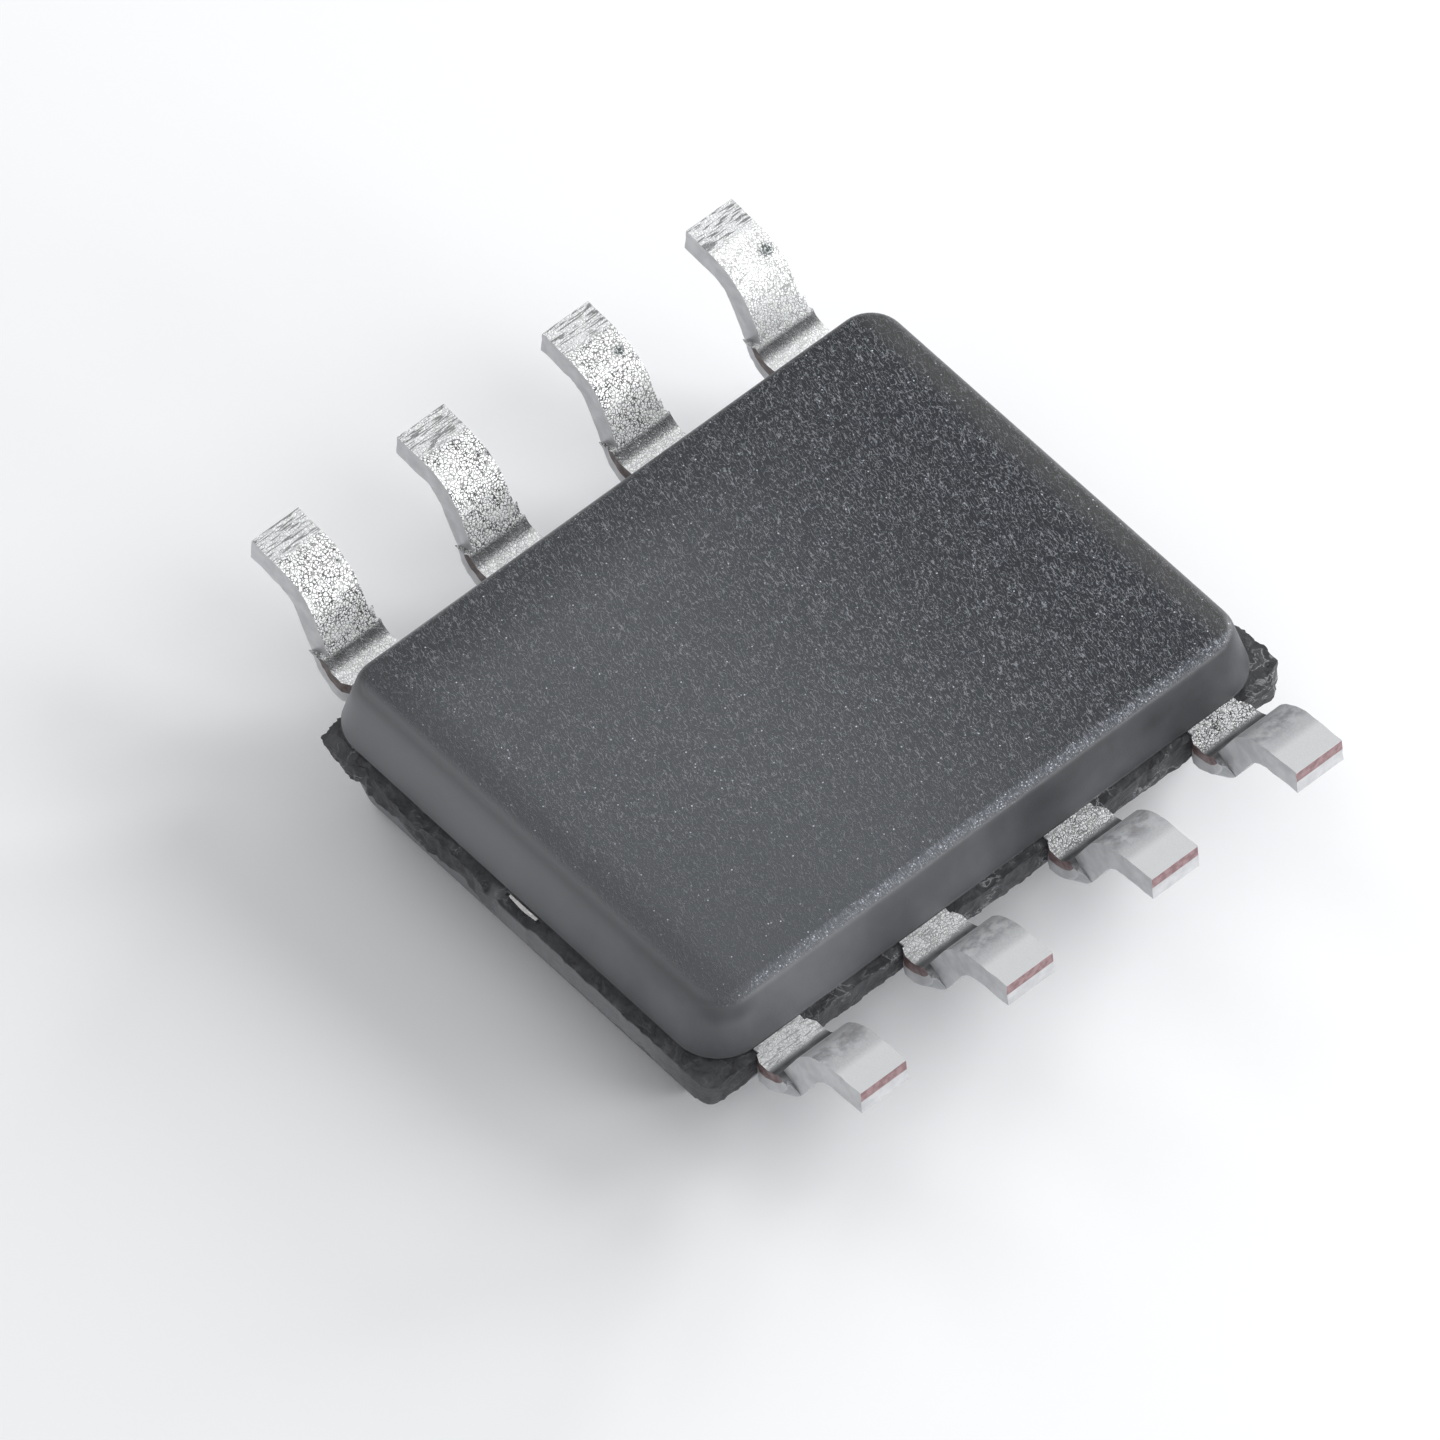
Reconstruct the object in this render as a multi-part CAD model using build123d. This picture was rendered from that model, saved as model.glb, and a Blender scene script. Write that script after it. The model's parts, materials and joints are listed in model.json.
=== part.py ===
from build123d import *
from math import cos, radians, sin, tan
import os

os.makedirs("parts", exist_ok=True)

# An eight-lead small-outline chip package, lying on its marked face with its feet in the air.
# X runs along the rows of leads, Y from row to row, and Z out of the belly.
# The origin is in the middle of the marked face. Lengths are in millimetres, angles in degrees.

# Moulded body
body_length = 4.90
body_width = 3.90
marked_half_depth = 0.64
belly_half_depth = 0.43
draft_angle = 15
corner_radius = 0.35
marked_edge_radius = 0.12
belly_edge_radius = 0.08
bevel_width = 0.30
end_flash = 0.11
side_flash = 0.08
flash_corner_radius = 0.10
index_diameter = 0.50
index_depth = 0.05
index_from_end = 0.60
index_from_bevel = 0.50

# Leads
leads_per_row = 4
lead_pitch = 1.27
lead_width = 0.41
lead_thickness = 0.20
lead_reach = 1.06
standoff = 0.16
shoulder_reach = 0.264
shoulder_bend_radius = 0.15
heel_bend_radius = 0.217
leg_angle = 64
foot_angle = 5.3
stub_from_wall = 0.05
stub_length = 0.30
stub_overhang = 0.05

# Inner ends of the leads, inside the moulding
finger_width = 0.62
finger_length = 0.50
finger_lean = 0.16
finger_gap = 0.20
lock_hole_diameter = 0.20
lock_hole_from_neck = 0.14

# Die paddle and its tie bars
paddle_length = 3.00
paddle_width = 2.20
paddle_corner_radius = 0.15
paddle_downset = 0.18
tie_bar_width = 0.28
tie_bar_offset = 0.10
tie_bar_flat = 0.12
tie_bar_slope_length = 0.25
tie_bar_bend_radius = 0.05

# Die, its adhesive and the bond wires
die_length = 1.60
die_width = 1.20
die_thickness = 0.25
attach_thickness = 0.03
attach_margin = 0.08
pad_pitch = 0.40
pad_inset = 0.12
wire_diameter = 0.05
wire_rise = 0.14
wire_corner = 0.08
bond_diameter = 0.10
bond_height = 0.02
bond_from_finger_end = 0.13

# One overrun for every cut that passes out of a face
overrun = 0.10

# Levels, from the marked face up
frame_floor = marked_half_depth
frame_top = frame_floor + lead_thickness
frame_middle = frame_floor + lead_thickness / 2
belly_level = frame_top + belly_half_depth
feet_level = belly_level + standoff
paddle_floor = frame_floor + paddle_downset
die_back = paddle_floor - attach_thickness
die_face = die_back - die_thickness

# Places across the rows
wall_y = body_width / 2
finger_end_y = paddle_width / 2 + finger_gap
marked_face_inset = marked_half_depth * tan(radians(draft_angle))


def drafted_half(depth, side, edge_radius):
    """One half of the moulding, from the lead frame to its flat face, with drafted walls."""
    level = frame_top if side > 0 else frame_floor
    inset = depth * tan(radians(draft_angle))
    with BuildPart() as half:
        with BuildSketch(Plane.XY.offset(level)):
            RectangleRounded(body_length, body_width, corner_radius)
        with BuildSketch(Plane.XY.offset(level + side * depth)):
            RectangleRounded(body_length - 2 * inset, body_width - 2 * inset, corner_radius - inset)
        loft(ruled=True)
        flat_face = half.faces().sort_by(Axis.Z)[-1 if side > 0 else 0]
        fillet(flat_face.edges(), edge_radius)
    return half.part


def flash_ledge():
    """The ledge of compound that stays round the parting plane, as thick as the lead frame."""
    with BuildPart() as ledge:
        with BuildSketch(Plane.XY.offset(frame_floor)):
            RectangleRounded(body_length + 2 * end_flash, body_width + 2 * side_flash, flash_corner_radius)
        extrude(amount=lead_thickness)
    return ledge.part


def pin_one_bevel():
    """The wedge cut off the marked face along the row that holds lead 1."""
    edge_y = -(wall_y - marked_face_inset)
    with BuildPart() as wedge:
        with BuildSketch(Plane.YZ):
            with BuildLine():
                Polyline(
                    (-wall_y, bevel_width + marked_face_inset),
                    (-wall_y, -overrun),
                    (edge_y + bevel_width + overrun, -overrun),
                    close=True,
                )
            make_face()
        extrude(amount=body_length / 2 + end_flash + overrun, both=True)
    return wedge.part


def index_dimple():
    """The round mark on the marked face beside lead 1."""
    x = body_length / 2 - marked_face_inset - index_from_end
    y = -(wall_y - marked_face_inset - bevel_width - index_from_bevel)
    with BuildPart() as dimple:
        with Locations((x, y, index_depth)):
            Cylinder(
                index_diameter / 2, index_depth + overrun,
                align=(Align.CENTER, Align.CENTER, Align.MAX),
            )
    return dimple.part


def lead_middle_line():
    """Corners of a lead's middle line in Y and Z, from the finger's end to the tip."""
    leg = radians(leg_angle)
    foot = radians(foot_angle)
    half = lead_thickness / 2
    # The solder side runs through these two points, along the leg and along the foot
    shoulder_y = wall_y + shoulder_reach
    tip_y = wall_y + lead_reach - lead_thickness * sin(foot)
    run_y = tip_y - shoulder_y
    run_z = feet_level - frame_top
    leg_length = (run_y * sin(foot) - run_z * cos(foot)) / (cos(leg) * sin(foot) - sin(leg) * cos(foot))
    heel_y = shoulder_y + leg_length * cos(leg)
    heel_z = frame_top + leg_length * sin(leg)
    shoulder_shift = half * tan(leg / 2)
    heel_shift = half * tan((leg - foot) / 2)
    return (
        (finger_end_y, frame_middle),
        (shoulder_y + shoulder_shift, frame_middle),
        (heel_y + half * sin(leg) - heel_shift * cos(leg), heel_z - half * cos(leg) - heel_shift * sin(leg)),
        (tip_y + half * sin(foot), feet_level - half * cos(foot)),
    )


def gull_wing(width):
    """A strip of the lead frame of the given width, bent to the gull-wing form."""
    half = lead_thickness / 2
    with BuildPart() as strip:
        with BuildSketch(Plane.YZ):
            with BuildLine():
                FilletPolyline(
                    *lead_middle_line(),
                    radius=(shoulder_bend_radius + half, heel_bend_radius + half),
                )
            trace(line_width=lead_thickness)
        extrude(amount=width / 2, both=True)
    return strip.part


def lead(lean):
    """One lead of the +Y row at x = 0, whose finger leans sideways by the given length."""
    stub_middle_y = wall_y + stub_from_wall + stub_length / 2
    with BuildPart() as whole:
        add(gull_wing(lead_width + 2 * stub_overhang))
        with Locations((0, stub_middle_y, frame_middle)):
            Box(
                lead_width + 2 * stub_overhang + 2 * overrun, stub_length, feet_level,
                mode=Mode.INTERSECT,
            )
        add(gull_wing(lead_width))
        with BuildSketch(Plane.XY.offset(frame_floor)):
            with Locations((lean, finger_end_y + finger_length / 2)):
                Rectangle(finger_width, finger_length)
        extrude(amount=lead_thickness)
        with BuildSketch(Plane.XY.offset(frame_floor)):
            with Locations((lean, finger_end_y + finger_length - lock_hole_from_neck)):
                Circle(lock_hole_diameter / 2)
        extrude(amount=lead_thickness, mode=Mode.SUBTRACT)
    return whole.part


def tie_bar():
    """One tie bar, from the middle of the paddle out to the +X end face, where it was sheared off."""
    paddle_middle = paddle_floor + lead_thickness / 2
    bend_x = paddle_length / 2 + tie_bar_flat
    with BuildPart() as bar:
        with BuildSketch(Plane.XZ):
            with BuildLine():
                FilletPolyline(
                    (0, paddle_middle),
                    (bend_x, paddle_middle),
                    (bend_x + tie_bar_slope_length, frame_middle),
                    (body_length / 2 + end_flash, frame_middle),
                    radius=tie_bar_bend_radius + lead_thickness / 2,
                )
            trace(line_width=lead_thickness)
        extrude(amount=tie_bar_width / 2, both=True)
    return Pos(0, tie_bar_offset, 0) * bar.part


def die_paddle():
    """The plate that carries the die, with the two tie bars that held it in the lead frame."""
    with BuildPart() as paddle:
        with BuildSketch(Plane.XY.offset(paddle_floor)):
            RectangleRounded(paddle_length, paddle_width, paddle_corner_radius)
        extrude(amount=lead_thickness)
        add(tie_bar())
        add(Rot(0, 0, 180) * tie_bar())
    return paddle.part


def slab(length, width, floor, thickness):
    """A flat rectangular piece in the middle of the package."""
    with BuildPart() as piece:
        with Locations((0, 0, floor)):
            Box(length, width, thickness, align=(Align.CENTER, Align.CENTER, Align.MIN))
    return piece.part


def bond_wire(die_point, finger_point):
    """A wire that rises from the die, runs across and drops to a finger, with a bond at each end."""
    start = Vector(*die_point, die_face)
    end = Vector(*finger_point, frame_floor)
    rise = Vector(0, 0, -wire_rise)
    corner_drop = Vector(0, 0, wire_corner)
    corner_run = (end - start).normalized() * wire_corner
    with BuildPart() as wire:
        with BuildLine() as path:
            Polyline(
                start,
                start + rise + corner_drop,
                start + rise + corner_run,
                end + rise - corner_run,
                end + rise + corner_drop,
                end,
            )
        with BuildSketch(Plane(origin=start, z_dir=(0, 0, -1))):
            Circle(wire_diameter / 2)
        sweep(path=path.wires()[0], transition=Transition.RIGHT)
        with Locations(start, end):
            Cylinder(
                bond_diameter / 2, bond_height,
                align=(Align.CENTER, Align.CENTER, Align.MAX),
            )
    return wire.part


def moulded_body(embedded):
    """The body of compound, with the space that each embedded piece fills cut out of it."""
    body = drafted_half(belly_half_depth, 1, belly_edge_radius)
    body += drafted_half(marked_half_depth, -1, marked_edge_radius)
    body += flash_ledge()
    body -= pin_one_bevel()
    body -= index_dimple()
    for piece in embedded:
        body -= piece
    return body


# The far row is laid out from -X to +X. The near row, with lead 1, is the same row after half a turn.
far_leads = []
far_wires = []
finger_leans = [0] * leads_per_row
finger_leans[0] = finger_lean
finger_leans[-1] = -finger_lean
for place, lean in enumerate(finger_leans):
    steps = place - (leads_per_row - 1) / 2
    pad_point = (steps * pad_pitch, die_width / 2 - pad_inset)
    finger_point = (steps * lead_pitch + lean, finger_end_y + bond_from_finger_end)
    far_leads.append(Pos(steps * lead_pitch, 0, 0) * lead(lean))
    far_wires.append(bond_wire(pad_point, finger_point))
half_turn = Rot(0, 0, 180)

nodes = {}
for number, piece in enumerate([half_turn * piece for piece in far_leads] + far_leads, start=1):
    nodes[f"lead_{number}"] = piece
for number, piece in enumerate([half_turn * piece for piece in far_wires] + far_wires, start=1):
    nodes[f"bond_wire_{number}"] = piece
nodes["die_paddle"] = die_paddle()
nodes["die_attach"] = slab(
    die_length + 2 * attach_margin, die_width + 2 * attach_margin, die_back, attach_thickness
)
nodes["silicon_die"] = slab(die_length, die_width, die_face, die_thickness)
nodes["moulded_body"] = moulded_body(list(nodes.values()))

for name, piece in nodes.items():
    export_step(piece, f"parts/{name}.step")
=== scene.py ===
"""An eight-lead small-outline chip package, lying belly up on a pale floor.

The axes are those of the solids: X along the rows of leads, Y from row to row, Z out of the belly.
Pieces are shaped in millimetres and brought to metres when they are finished.
"""
import json
import logging
import math
from dataclasses import dataclass, field
from enum import Enum
from functools import cached_property
from typing import Any, Callable

import bmesh
import bpy
from mathutils import Matrix, Vector, noise

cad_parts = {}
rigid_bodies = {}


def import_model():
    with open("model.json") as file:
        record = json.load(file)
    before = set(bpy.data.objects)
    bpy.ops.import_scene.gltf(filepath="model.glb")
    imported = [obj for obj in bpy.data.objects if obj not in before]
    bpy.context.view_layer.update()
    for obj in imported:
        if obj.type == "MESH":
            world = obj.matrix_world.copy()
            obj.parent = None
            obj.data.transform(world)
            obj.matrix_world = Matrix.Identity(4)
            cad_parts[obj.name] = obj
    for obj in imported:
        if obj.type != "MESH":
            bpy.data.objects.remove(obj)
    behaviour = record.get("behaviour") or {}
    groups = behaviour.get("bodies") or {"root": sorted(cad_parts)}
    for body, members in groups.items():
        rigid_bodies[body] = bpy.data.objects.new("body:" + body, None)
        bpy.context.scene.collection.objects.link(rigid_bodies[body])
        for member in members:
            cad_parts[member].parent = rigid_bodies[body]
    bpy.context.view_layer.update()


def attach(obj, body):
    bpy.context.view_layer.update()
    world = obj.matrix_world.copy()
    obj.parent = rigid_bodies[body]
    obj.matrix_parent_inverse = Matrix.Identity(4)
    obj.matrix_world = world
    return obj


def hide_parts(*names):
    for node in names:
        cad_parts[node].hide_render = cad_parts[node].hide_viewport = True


log = logging.getLogger("soic_chip")
MM = 0.001

Triple = tuple[float, float, float]
Colour = Triple
Colours = tuple[Colour, Colour]
Range = tuple[float, float]
Table = tuple[tuple[float, float], ...]


class Element(Enum):
    """The kinds of mesh element that a selection can hold."""

    EDGE = "EDGE"
    FACE = "FACE"


class Combine(Enum):
    """The ways in which a second piece changes the first."""

    JOIN = "UNION"
    CUT = "DIFFERENCE"


class Row(Enum):
    """The rows of leads, each with the side of the body that it is on."""

    NEAR = -1
    FAR = 1


def deselect_all() -> None:
    """Leave edit mode and deselect every object."""
    if bpy.context.object is not None and bpy.context.object.mode != "OBJECT":
        bpy.ops.object.mode_set(mode="OBJECT")
    bpy.ops.object.select_all(action="DESELECT")


def make_active(obj: bpy.types.Object) -> None:
    """Select one object alone and make it the active one.

    Args:
        obj: The object to work on.
    """
    deselect_all()
    obj.select_set(True)
    bpy.context.view_layer.objects.active = obj


def set_finish(obj: bpy.types.Object, finish: bpy.types.Material) -> None:
    """Give an object one finish all over.

    Args:
        obj: The object.
        finish: Its only material from now on.
    """
    obj.data.materials.clear()
    obj.data.materials.append(finish)
    log.info("%s in %s", obj.name, finish.name)


def share_at(table: Table, place: float) -> float:
    """Read a value from a table, with straight lines between its rows.

    Args:
        table: Rows of a place and its value, in the order of the places.
        place: The place to read.

    Returns:
        The value there. Past either end it is that of the last row.
    """
    for (low, first), (high, last) in zip(table, table[1:]):
        if low <= place <= high:
            return first + (last - first) * (place - low) / (high - low)
    return table[0][1] if place < table[0][0] else table[-1][1]


def ripple(point: Vector, across: float, up: float, seed: float) -> float:
    """Smooth noise at a place, the same in each run.

    Args:
        point: The place.
        across: Waves per millimetre along X and Y.
        up: Waves per millimetre along Z.
        seed: Shift that picks one pattern.

    Returns:
        A number between about -1 and 1.
    """
    return noise.noise(Vector((point.x * across, point.y * across, point.z * up + seed)))


class Piece:
    """A mesh that is shaped in millimetres with edit-mode operators."""

    def __init__(self, name: str) -> None:
        """Take the active object as the piece.

        Args:
            name: New name of the object and its mesh.
        """
        self.obj = bpy.context.object
        self.obj.name = name
        self.obj.data.name = name

    @classmethod
    def start(cls, name: str, add: Callable[..., Any], **options: Any) -> "Piece":
        """Add the primitive that a piece starts from.

        Args:
            name: Name of the object and its mesh.
            add: The operator that adds the primitive.
            **options: The operator's own settings.

        Returns:
            The new piece.
        """
        deselect_all()
        add(**options)
        return cls(name)

    def copy(self, name: str) -> "Piece":
        """Copy the piece with its own mesh.

        Args:
            name: Name of the copy.

        Returns:
            The copy.
        """
        make_active(self.obj)
        bpy.ops.object.duplicate(linked=False)
        return Piece(name)

    def remove(self) -> None:
        """Delete the piece."""
        bpy.data.objects.remove(self.obj, do_unlink=True)

    def place(self, size: Triple, middle: Triple, tilt: float = 0.0) -> None:
        """Scale, tilt about X and move the whole piece, and apply it to the mesh.

        Args:
            size: Scale along X, Y and Z, before the tilt.
            middle: Where the middle of the primitive goes.
            tilt: Angle about X, in radians.
        """
        make_active(self.obj)
        self.obj.scale = size
        self.obj.rotation_euler = (tilt, 0, 0)
        self.obj.location = middle
        bpy.ops.object.transform_apply(location=True, rotation=True, scale=True)

    def edit(self) -> None:
        """Enter edit mode on this piece."""
        make_active(self.obj)
        bpy.ops.object.mode_set(mode="EDIT")

    def leave(self) -> None:
        """Leave edit mode."""
        bpy.ops.object.mode_set(mode="OBJECT")

    def pick(self, kind: Element, test: Callable[[Any], bool]) -> None:
        """Select the elements that pass a test, in edit mode.

        Args:
            kind: Which kind of element to select.
            test: Takes one mesh element and says whether it is wanted.
        """
        bpy.ops.mesh.select_mode(type=kind.value)
        bpy.ops.mesh.select_all(action="DESELECT")
        mesh = bmesh.from_edit_mesh(self.obj.data)
        for element in mesh.edges if kind is Element.EDGE else mesh.faces:
            if test(element):
                element.select_set(True)
        mesh.select_flush_mode()
        bmesh.update_edit_mesh(self.obj.data)

    def face_outwards(self) -> None:
        """Make all faces point outwards, in edit mode."""
        bpy.ops.mesh.select_all(action="SELECT")
        bpy.ops.mesh.normals_make_consistent(inside=False)

    def extrude(self, *steps: Triple) -> None:
        """Extrude the selected faces by each step in turn."""
        for step in steps:
            bpy.ops.mesh.extrude_region_move(TRANSFORM_OT_translate={"value": step})

    def spin(self, centre: Triple, angle: float, steps: int) -> None:
        """Extrude the selected faces round an axis along X.

        Args:
            centre: A point on the axis.
            angle: Turn in radians, positive from +Y towards +Z.
            steps: How many steps the turn has.
        """
        bpy.ops.mesh.spin(steps=steps, angle=-angle, center=centre, axis=(1, 0, 0))

    def clean(self, distance: float = 0.0005) -> None:
        """Merge doubles and make the faces point outwards.

        Args:
            distance: How far apart doubles may be, in millimetres.
        """
        self.edit()
        bpy.ops.mesh.select_all(action="SELECT")
        bpy.ops.mesh.remove_doubles(threshold=distance)
        self.face_outwards()
        self.leave()

    def combine(self, other: "Piece", way: Combine) -> None:
        """Join or cut with another piece and delete that piece.

        Args:
            other: The second piece.
            way: What it does to this one.
        """
        modifier = self.obj.modifiers.new("combine", "BOOLEAN")
        modifier.operation = way.value
        modifier.solver = "EXACT"
        modifier.object = other.obj
        make_active(self.obj)
        bpy.ops.object.modifier_apply(modifier=modifier.name)
        other.remove()

    def move_verts(self, shift: Callable[[Vector], Vector]) -> None:
        """Move every vertex to the place that a function gives for it."""
        for vertex in self.obj.data.vertices:
            vertex.co = shift(vertex.co.copy())

    def to_metres(self, smooth_angle: float) -> bpy.types.Object:
        """Bring the mesh from millimetres to metres and shade it smooth up to an angle.

        Args:
            smooth_angle: Edges that turn by more than this angle, in degrees, stay sharp.

        Returns:
            The finished object.
        """
        self.place((MM, MM, MM), (0, 0, 0))
        bpy.ops.object.shade_smooth_by_angle(angle=math.radians(smooth_angle))
        return self.obj


class Graph:
    """A node tree, with short calls that add nodes and link them.

    A value is a socket or a plain number, and what a call returns is a socket to go on from.
    """

    def __init__(self, tree: bpy.types.NodeTree) -> None:
        """Keep the tree that the nodes go into."""
        self.tree = tree

    def feed(self, node: bpy.types.Node, inputs: dict[Any, Any]) -> None:
        """Fill inputs of a node.

        Args:
            node: The node.
            inputs: Sockets or plain values, by input name or number.
        """
        for key, value in inputs.items():
            if isinstance(value, bpy.types.NodeSocket):
                self.tree.links.new(value, node.inputs[key])
            else:
                node.inputs[key].default_value = value

    def add(self, kind: str, inputs: dict[Any, Any] | None = None, **settings: Any) -> Any:
        """Add a node, set its properties and fill its inputs.

        Args:
            kind: The node's type name.
            inputs: Sockets or plain values, by input name or number.
            **settings: Properties of the node.

        Returns:
            The outputs of the new node.
        """
        node = self.tree.nodes.new(kind)
        for key, value in settings.items():
            setattr(node, key, value)
        self.feed(node, inputs or {})
        return node.outputs

    def math(self, operation: str, first: Any, second: Any = 0.0, clamp: bool = False) -> Any:
        """Add a Math node and return its output."""
        return self.add("ShaderNodeMath", {0: first, 1: second}, operation=operation, use_clamp=clamp)[0]

    def times(self, *values: Any) -> Any:
        """Multiply values.

        Args:
            *values: Two or more of them.

        Returns:
            Their product.
        """
        product, *others = values
        for value in others:
            product = self.math("MULTIPLY", product, value)
        return product

    def plus(self, first: Any, second: Any) -> Any:
        """Add two values."""
        return self.math("ADD", first, second)

    def minus(self, first: Any, second: Any, clamp: bool = False) -> Any:
        """Subtract the second value from the first."""
        return self.math("SUBTRACT", first, second, clamp)

    def larger(self, first: Any, second: Any) -> Any:
        """Return the larger of two values."""
        return self.math("MAXIMUM", first, second)

    def away(self, value: Any, middle: float) -> Any:
        """Return how far a value is from a middle."""
        return self.math("ABSOLUTE", self.minus(value, middle))

    def vector(self, operation: str, first: Any, second: Any) -> Any:
        """Add a Vector Math node and return its outputs, first the vector and then the value."""
        return self.add("ShaderNodeVectorMath", {0: first, 1: second}, operation=operation)

    def span(self, value: Any, limits: Range = (0, 1), to: Range = (0.0, 1.0)) -> Any:
        """Map a value smoothly from one range to another and hold it at the ends.

        Args:
            value: The value.
            limits: Where it starts and ends, in either order.
            to: What it becomes at each limit.

        Returns:
            The new value.
        """
        inputs = {"Value": value, "From Min": limits[0], "From Max": limits[1], "To Min": to[0],
                  "To Max": to[1]}
        return self.add("ShaderNodeMapRange", inputs, interpolation_type="SMOOTHSTEP")["Result"]

    def step(self, place: Any, limits: Range, to: Range = (0.0, 1.0)) -> Any:
        """Map a place as span does, with its limits in millimetres."""
        return self.span(place, (limits[0] * MM, limits[1] * MM), to)

    def mix(self, factor: Any, first: Any, second: Any) -> Any:
        """Mix two colours.

        Args:
            factor: Share of the second colour.
            first: First colour, a socket or three plain numbers.
            second: Second colour, in the same way.

        Returns:
            The mixed colour's socket.
        """
        first, second = (colour if isinstance(colour, bpy.types.NodeSocket) else (*colour, 1.0)
                         for colour in (first, second))
        return self.add("ShaderNodeMix", {0: factor, 6: first, 7: second}, data_type="RGBA")[2]

    def channels(self, colour: Any) -> Any:
        """Split a colour into its red, green and blue."""
        return self.add("ShaderNodeSeparateColor", {0: colour})

    def noise(self, vector: Any, size: float, detail: float = 2.0, rough: float = 0.5,
              warp: float = 0.0) -> Any:
        """Add noise whose features are about the given size in millimetres."""
        return self.add("ShaderNodeTexNoise", {"Vector": vector, "Scale": 1 / (size * MM), "Detail": detail,
                                               "Roughness": rough, "Distortion": warp})[0]

    def stretch(self, vector: Any, factors: Triple) -> Any:
        """Scale a coordinate along its axes."""
        return self.add("ShaderNodeMapping", {"Vector": vector, "Scale": factors})[0]


class Surface(Graph):
    """The graph of a material, with its Principled shader and the place in Object coordinates."""

    def __init__(self, material: bpy.types.Material) -> None:
        """Start from the shader that a new material has.

        Args:
            material: The new material.
        """
        super().__init__(material.node_tree)
        self.shader = material.node_tree.nodes["Principled BSDF"]
        self.place = self.add("ShaderNodeTexCoord")["Object"]

    @cached_property
    def axes(self) -> tuple[Any, ...]:
        """X, Y and Z of the place."""
        return tuple(self.add("ShaderNodeSeparateXYZ", {0: self.place}))

    def coat(self, base: Any, rough: Any, relief: Any, strength: float, depth: float) -> None:
        """Feed colour, roughness and bump to the shader.

        Args:
            base: The colour.
            rough: The roughness.
            relief: Height of the bump.
            strength: Strength of the bump.
            depth: Depth of the bump in millimetres.
        """
        bump = self.add("ShaderNodeBump", {"Height": relief, "Strength": strength, "Distance": depth * MM})
        self.feed(self.shader, {"Base Color": base, "Roughness": rough, "Normal": bump[0]})


class Pattern:
    """A texture in a node group, built once and placed in each material with its own values."""

    name: str
    inputs: tuple[tuple[str, float], ...]
    outputs: tuple[str, ...]

    def draw(self, graph: Graph, source: Any) -> tuple[Any, ...]:
        """Add the nodes of the pattern.

        Args:
            graph: The group's graph.
            source: What the group takes in, by name.

        Returns:
            One socket for each name in outputs.
        """
        raise NotImplementedError

    def group(self) -> bpy.types.NodeTree:
        """Build the node group, unless it is there.

        Returns:
            The group's tree.
        """
        if self.name in bpy.data.node_groups:
            return bpy.data.node_groups[self.name]
        tree = bpy.data.node_groups.new(self.name, "ShaderNodeTree")
        tree.interface.new_socket("Vector", in_out="INPUT", socket_type="NodeSocketVector")
        for label, value in self.inputs:
            socket = tree.interface.new_socket(label, in_out="INPUT", socket_type="NodeSocketFloat")
            socket.default_value = value
        for label in self.outputs:
            tree.interface.new_socket(label, in_out="OUTPUT", socket_type="NodeSocketFloat")
        source = tree.nodes.new("NodeGroupInput").outputs
        sink = tree.nodes.new("NodeGroupOutput")
        graph = Graph(tree)
        graph.feed(sink, dict(zip(self.outputs, self.draw(graph, source))))
        return tree

    def put(self, graph: Graph, vector: Any, values: dict[str, Any] | None = None) -> Any:
        """Place the group in a material.

        Args:
            graph: The material's graph.
            vector: The coordinate that the pattern follows.
            values: Other inputs that differ from the group's own, by name.

        Returns:
            The outputs of the group, by name.
        """
        return graph.add("ShaderNodeGroup", {"Vector": vector, **(values or {})}, node_tree=self.group())


@dataclass(frozen=True)
class Speckle(Pattern):
    """Short strokes that lean one way, among fine grain with bright grains, for compound and adhesive."""

    name: str = "speckle"
    inputs: tuple[tuple[str, float], ...] = (("Size", 30000.0), ("Glint", 0.12), ("Stroke", 0.07))
    outputs: tuple[str, ...] = ("Height", "Glints", "Strokes")
    lean: float = 0.25
    length: Triple = (1.0, 0.30, 1.0)
    second_shift: Triple = (0.013, 0.007, 0.002)
    gaps: Range = (0.38, 0.54)
    grain_edge: Range = (0.36, 0.20)

    def draw(self, graph: Graph, source: Any) -> tuple[Any, ...]:
        """Add the nodes of the pattern.

        Args:
            graph: The group's graph.
            source: What the group takes in, by name.

        Returns:
            Height, glints and strokes.
        """
        vector, size = source["Vector"], source["Size"]
        turned = graph.add("ShaderNodeVectorRotate", {"Vector": vector, "Angle": self.lean},
                           rotation_type="Z_AXIS")[0]
        drawn = graph.stretch(turned, self.length)
        fine = graph.add("ShaderNodeTexNoise", {"Vector": vector, "Scale": size, "Detail": 3.0,
                                                "Roughness": 0.65})[0]
        ridges = []
        for place in (drawn, graph.vector("ADD", drawn, self.second_shift)[0]):
            wave = graph.add("ShaderNodeTexNoise", {"Vector": place, "Scale": size, "Detail": 0.0,
                                                    "Distortion": 0.5})[0]
            ridges.append(graph.away(wave, 0.5))
        line = graph.math("DIVIDE", graph.math("MINIMUM", *ridges), source["Stroke"])
        stroke = graph.times(graph.minus(1.0, line, clamp=True), graph.span(fine, self.gaps))
        cells = graph.add("ShaderNodeTexVoronoi", {"Vector": vector, "Scale": size})
        chance, shine, _ = graph.channels(cells["Color"])
        glint = graph.times(graph.math("LESS_THAN", chance, source["Glint"]),
                            graph.span(cells["Distance"], self.grain_edge), shine)
        return graph.plus(graph.times(fine, 0.5), graph.times(stroke, 0.7)), glint, stroke


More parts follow.
